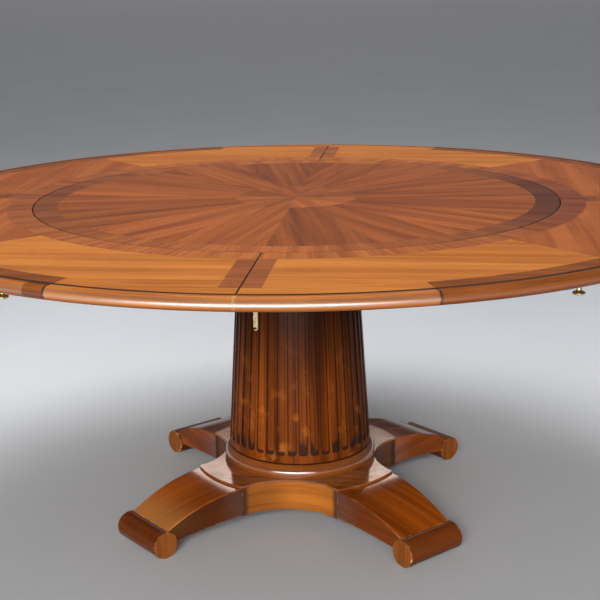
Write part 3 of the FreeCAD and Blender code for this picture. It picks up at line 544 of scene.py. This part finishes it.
def hub_wood():
    """Cheeks between the legs: grain round the scallop, dark beside the leg joints and at the sides."""
    finish = Finish("hub_wood", **SEMI_GLOSS)
    turn = finish.angle()
    grain = Grain(
        finish, turn * HUB_RADIUS, finish.z, sheet=1.0, streak=0.01, length=0.25, wander=0.01
    )
    wood = grain.colour(dark=(0.175, 0.044, 0.006), light=(0.4, 0.134, 0.018))
    left_third = 1 - finish.x.ramp(-0.06, 0.02)
    from_cheek = abs(turn).there_and_back(EIGHTH_TURN)
    beside_leg = from_cheek.ramp(0.41, 0.435)
    wood = finish.mix(finish.at_side() * 0.8, wood, HUB_SIDE_SHADE)
    wood = finish.mix(left_third * 0.4, wood, HUB_LEFT_SHADE)
    wood = finish.mix(beside_leg * 0.85, wood, HUB_JOINT_SHADE)
    wood = finish.mix(worn_edge(finish, 0.002) * 0.5, wood, ARRIS_RUBBED)
    return lacquer(finish, wood, grain, rough=0.2)


def leg_coordinates(finish):
    """Along and across a leg, which lies on a diagonal, and a number of its own."""
    share = math.sqrt(0.5)
    out = (abs(finish.x) + abs(finish.y)) * share
    across = (abs(finish.x) - abs(finish.y)) * share
    number = finish.x.sign() * 1.7 + finish.y.sign() * 4.3
    return out, across, number


def leg_wood():
    """Sabre legs: the front left one paler near its roll, partly a painted highlight and partly wear;
    painted shade on the flanks in front.
    """
    finish = Finish("leg_wood", Specular_IOR_Level=0.12, Coat_Roughness=0.12, Coat_IOR=1.75)
    out, across, number = leg_coordinates(finish)
    slanted = across + 0.7 * finish.z
    grain = Grain(finish, out, slanted, number, streak=0.011, length=0.35, wander=0.012)
    wood = grain.colour(dark=(0.105, 0.02, 0.0015), light=(0.31, 0.068, 0.005))
    near_roll = out.ramp(0.33, 0.44) - out.ramp(0.45, 0.47)
    # Painted highlight and wear: a pale patch on the front left leg near its roll
    highlight_and_wear = near_roll * finish.z.ramp(0.03, 0.05) * finish.front_left()
    normal = finish.node("ShaderNodeNewGeometry", output="Normal")
    level = finish.node("ShaderNodeSeparateXYZ", {}, (normal,), "Z")
    flank = 1 - abs(level).ramp(0.05, 0.25)
    in_front = finish.y < 0.0
    root = 1 - (out - LEG_ROOT).ramp(0.0008, 0.006)
    wood = finish.mix(highlight_and_wear * 0.55, wood, LEG_HIGHLIGHT_AND_WEAR)
    wood = finish.mix(flank * in_front * (0.62 - 0.22 * finish.x.sign()), wood, LEG_FLANK_SHADE)
    wood = finish.mix(root * 0.6, wood, LEG_JOINT_DIRT)
    wood = finish.mix(worn_edge(finish, 0.003), wood, LEG_RUBBED)
    finish.put(Coat_Weight=1 - 0.9 * out.ramp(LEG_ROOT + 0.01, LEG_ROOT + 0.08))
    return lacquer(finish, wood, grain, rough=0.18)


def scroll_wood():
    """Rolls at the feet: grain along the roll, end grain on the discs and rims rubbed pale."""
    finish = Finish("scroll_wood", Specular_IOR_Level=0.07, Coat_Weight=0.03, Coat_Roughness=0.12)
    out, across, number = leg_coordinates(finish)
    level = out - SCROLL_REACH
    rise = finish.z - SCROLL_HEIGHT
    slanted = level + 0.8 * rise
    grain = Grain(finish, across, slanted, number, streak=0.008, length=0.3, wander=0.008)
    roll = grain.colour(dark=(0.055, 0.012, 0.0025), light=(0.15, 0.036, 0.007))
    disc_number = number + across.sign() * 2.0
    disc_grain = Grain(finish, rise, level, disc_number, streak=0.006, length=0.2, wander=0.01)
    disc = disc_grain.colour(dark=(0.127, 0.033, 0.0065), light=(0.262, 0.08, 0.0145))
    half = SCROLL_LENGTH / 2
    end = abs(across).ramp(half - 0.0012, half - 0.0004)
    near_end = abs(across).ramp(half - 0.006, half - 0.001)
    from_axis = (level * level + rise * rise) ** 0.5
    rim = from_axis.ramp(SCROLL_RADIUS - 0.004, SCROLL_RADIUS - 0.001)
    patch = finish.specks(size=0.02, detail=5.0, roughness=0.7).ramp(0.5, 0.66)
    wood = finish.mix(end, roll, disc)
    wood = finish.mix(rim * near_end * patch * 0.7, wood, SCROLL_RUBBED)
    return lacquer(finish, wood, grain, rough=0.2)


# Plain timber and metal

def beech(name, dark, light, streak):
    """Unpolished beech, its grain along the diagonals, which lopers, rails and dowels nearly follow."""
    finish = Finish(name, **SATIN)
    out, across, number = leg_coordinates(finish)
    grain = Grain(finish, out, across + finish.z, number, streak, length=0.4, wander=0.008)
    return lacquer(finish, grain.colour(dark, light), grain, rough=0.45, spread=0.15)


def core_board():
    """Edges and underside of the boards: stained, straight grain across the table."""
    finish = Finish("core_board", **SATIN)
    across = finish.y + finish.z
    grain = Grain(finish, finish.x, across, sheet=8.0, streak=0.014, length=0.7, wander=0.016)
    wood = grain.colour(dark=(0.09, 0.035, 0.014), light=(0.24, 0.105, 0.042))
    return lacquer(finish, wood, grain, rough=0.45, spread=0.15)


def brass(name, bright, dull, polish):
    finish = Finish(name, Metallic=1.0)
    tarnish = finish.specks(size=0.006, detail=5.0, roughness=0.65).ramp(0.4, 0.75)
    metal = finish.mix(tarnish, bright, dull)
    scratch = finish.noise(finish.x / 0.01, finish.y / 0.0006, finish.z / 0.0006, 2.0)
    rough = polish + 0.2 * tarnish + 0.08 * scratch
    normal = finish.bump(scratch, distance=0.0005)
    return finish.put(Base_Color=metal, Roughness=rough, Normal=normal)


def steel():
    finish = Finish("zinc_steel", Metallic=1.0)
    spangle = finish.specks(size=0.004, detail=4.0)
    metal = finish.mix(spangle.ramp(0.35, 0.65), (0.36, 0.36, 0.37), (0.55, 0.55, 0.56))
    return finish.put(Base_Color=metal, Roughness=0.3 + 0.2 * spangle)


# Which finish each node of the frame wears, by the start of its name
NODE_FINISHES = {
    "disc_core": core_board(),
    "disc_sunburst": sunburst_veneer(),
    "disc_medallion": medallion_veneer(),
    "disc_crossband": disc_crossband(),
    "leaf_field": field_veneer(),
    "leaf_crossbands": leaf_crossband(),
    "leaf_string": ebony_string(),
    "leaf_edge": edge_moulding(),
    "leaf_dowels": beech("dowel_beech", (0.38, 0.24, 0.13), (0.6, 0.43, 0.26), streak=0.003),
    "loper": beech("loper_beech", (0.2, 0.1, 0.045), (0.38, 0.22, 0.11), streak=0.01),
    "column_shaft": column_wood(),
    "column_base": turned_base_wood(),
    "base_plate": plate_wood(),
    "base_hub": hub_wood(),
    "leg": leg_wood(),
    "foot_scrolls": scroll_wood(),
    "catch_plates": brass("dull_brass", (0.3, 0.255, 0.14), (0.19, 0.15, 0.075), polish=0.4),
    "loper_knob": brass("polished_brass", (0.82, 0.72, 0.36), (0.56, 0.44, 0.18), polish=0.22),
    "tie_rod": steel(),
}
NODE_FINISHES["leaf_core"] = NODE_FINISHES["disc_core"]
NODE_FINISHES["mounting_block"] = NODE_FINISHES["disc_core"]
NODE_FINISHES["seam_hook"] = NODE_FINISHES["catch_plates"]
NODE_FINISHES["loper_stop"] = NODE_FINISHES["tie_rod"]


def dress_nodes():
    for name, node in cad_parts.items():
        starts = [start for start in NODE_FINISHES if name.startswith(start)]
        finish = NODE_FINISHES[max(starts, key=len)]
        if not node.material_slots:
            node.data.materials.append(finish)
        for slot in node.material_slots:
            slot.material = finish


# Floor, light and camera

FLOOR_SIZE = 400.0
AMBIENT = 0.36
BACKDROP = 0.07
AMBIENT_COLOUR = (0.97, 0.98, 1.0, 1.0)
WHITE = (1.0, 1.0, 1.0)
WARM_WHITE = (1.0, 0.97, 0.93)
WARM_GLOW = (1.0, 0.8, 0.68)
FULL_BEAM = math.pi
NARROW_BEAM = math.radians(70)
CAMERA_AZIMUTH = math.radians(6.2)
CAMERA_DISTANCE = 2.856
CAMERA_SIDE = 0.005
CAMERA_HEIGHT = 1.244
CAMERA_PITCH = math.radians(14.59)
CAMERA_ROLL = math.radians(-0.8)
CAMERA_LENS_MM = 74.14


def floor():
    bpy.ops.object.select_all(action="DESELECT")
    bpy.ops.mesh.primitive_plane_add(size=FLOOR_SIZE)
    plane = bpy.context.object
    plane.name = "floor"
    finish = Finish("floor", Specular_IOR_Level=0.2)
    cloud = finish.noise(finish.x / 0.7, finish.y / 0.7, 0.0, 4.0)
    grey = finish.mix(cloud, (0.45, 0.465, 0.49), (0.52, 0.535, 0.56))
    plane.data.materials.append(finish.put(Base_Color=grey, Roughness=0.75))


def world_light():
    """Even studio light, in front of a grey backdrop that the camera and every reflection see."""
    world = bpy.data.worlds.new("studio")
    bpy.context.scene.world = world
    world.use_nodes = True
    tree = world.node_tree
    background = tree.nodes["Background"]
    background.inputs["Color"].default_value = AMBIENT_COLOUR
    ray = tree.nodes.new("ShaderNodeLightPath")
    strength = tree.nodes.new("ShaderNodeMix")
    strength.inputs["A"].default_value = AMBIENT
    strength.inputs["B"].default_value = BACKDROP
    seen = ray.outputs["Is Camera Ray"]
    for kind in ("Is Glossy Ray", "Is Transmission Ray"):
        either = tree.nodes.new("ShaderNodeMath")
        either.operation = "MAXIMUM"
        tree.links.new(seen, either.inputs[0])
        tree.links.new(ray.outputs[kind], either.inputs[1])
        seen = either.outputs[0]
    tree.links.new(seen, strength.inputs["Factor"])
    tree.links.new(strength.outputs[0], background.inputs["Strength"])


def softbox(name, place, target, size, watts, colour=WHITE, mirrored=True, beam=FULL_BEAM):
    """Rectangular lamp that the camera never sees, and reflections see only if it is mirrored."""
    light = bpy.data.lights.new(name, "AREA")
    light.shape = "RECTANGLE"
    light.size, light.size_y = size
    light.energy = watts
    light.color = colour
    light.spread = beam
    lamp = bpy.data.objects.new(name, light)
    lamp.location = place
    lamp.rotation_euler = (Vector(target) - Vector(place)).to_track_quat("-Z", "Y").to_euler()
    lamp.visible_camera = False
    lamp.visible_glossy = mirrored
    bpy.context.scene.collection.objects.link(lamp)


def lights():
    """The low panel stays below the plane of the top, so the rim mirrors it and the top doesn't."""
    world_light()
    softbox(
        "overhead", place=(-0.3, 1.0, 3.2), target=(0, 0.3, 0.7),
        size=(2.6, 2.2), watts=124, mirrored=False,
    )
    softbox(
        "front", place=(-0.3, -9.0, 4.0), target=(0, 0, 0.4),
        size=(4.0, 2.0), watts=126, colour=WARM_WHITE, mirrored=False, beam=NARROW_BEAM,
    )
    softbox(
        "low_front", place=(-0.2, -3.4, 0.44), target=(0, 0, 0.44),
        size=(4.4, 0.56), watts=16, colour=WARM_WHITE, beam=NARROW_BEAM,
    )
    softbox(
        "behind", place=(-9.7, 89.5, 42.0), target=(0, 0, 0.1),
        size=(26.0, 10.8), watts=2700, colour=WARM_GLOW,
    )


def camera():
    lens = bpy.data.cameras.new("camera")
    lens.lens = CAMERA_LENS_MM
    lens.clip_end = FLOOR_SIZE
    eye = bpy.data.objects.new("camera", lens)
    right = Vector((math.cos(CAMERA_AZIMUTH), math.sin(CAMERA_AZIMUTH), 0))
    back = Vector((math.sin(CAMERA_AZIMUTH), -math.cos(CAMERA_AZIMUTH), 0))
    eye.location = back * CAMERA_DISTANCE + right * CAMERA_SIDE + Vector((0, 0, CAMERA_HEIGHT))
    level = Euler((math.pi / 2 - CAMERA_PITCH, 0, CAMERA_AZIMUTH)).to_matrix()
    roll = Euler((0, 0, CAMERA_ROLL)).to_matrix()
    eye.rotation_euler = (level @ roll).to_euler()
    bpy.context.scene.collection.objects.link(eye)
    bpy.context.scene.camera = eye


dress_nodes()
floor()
lights()
camera()
bpy.context.scene.view_settings.view_transform = "Standard"
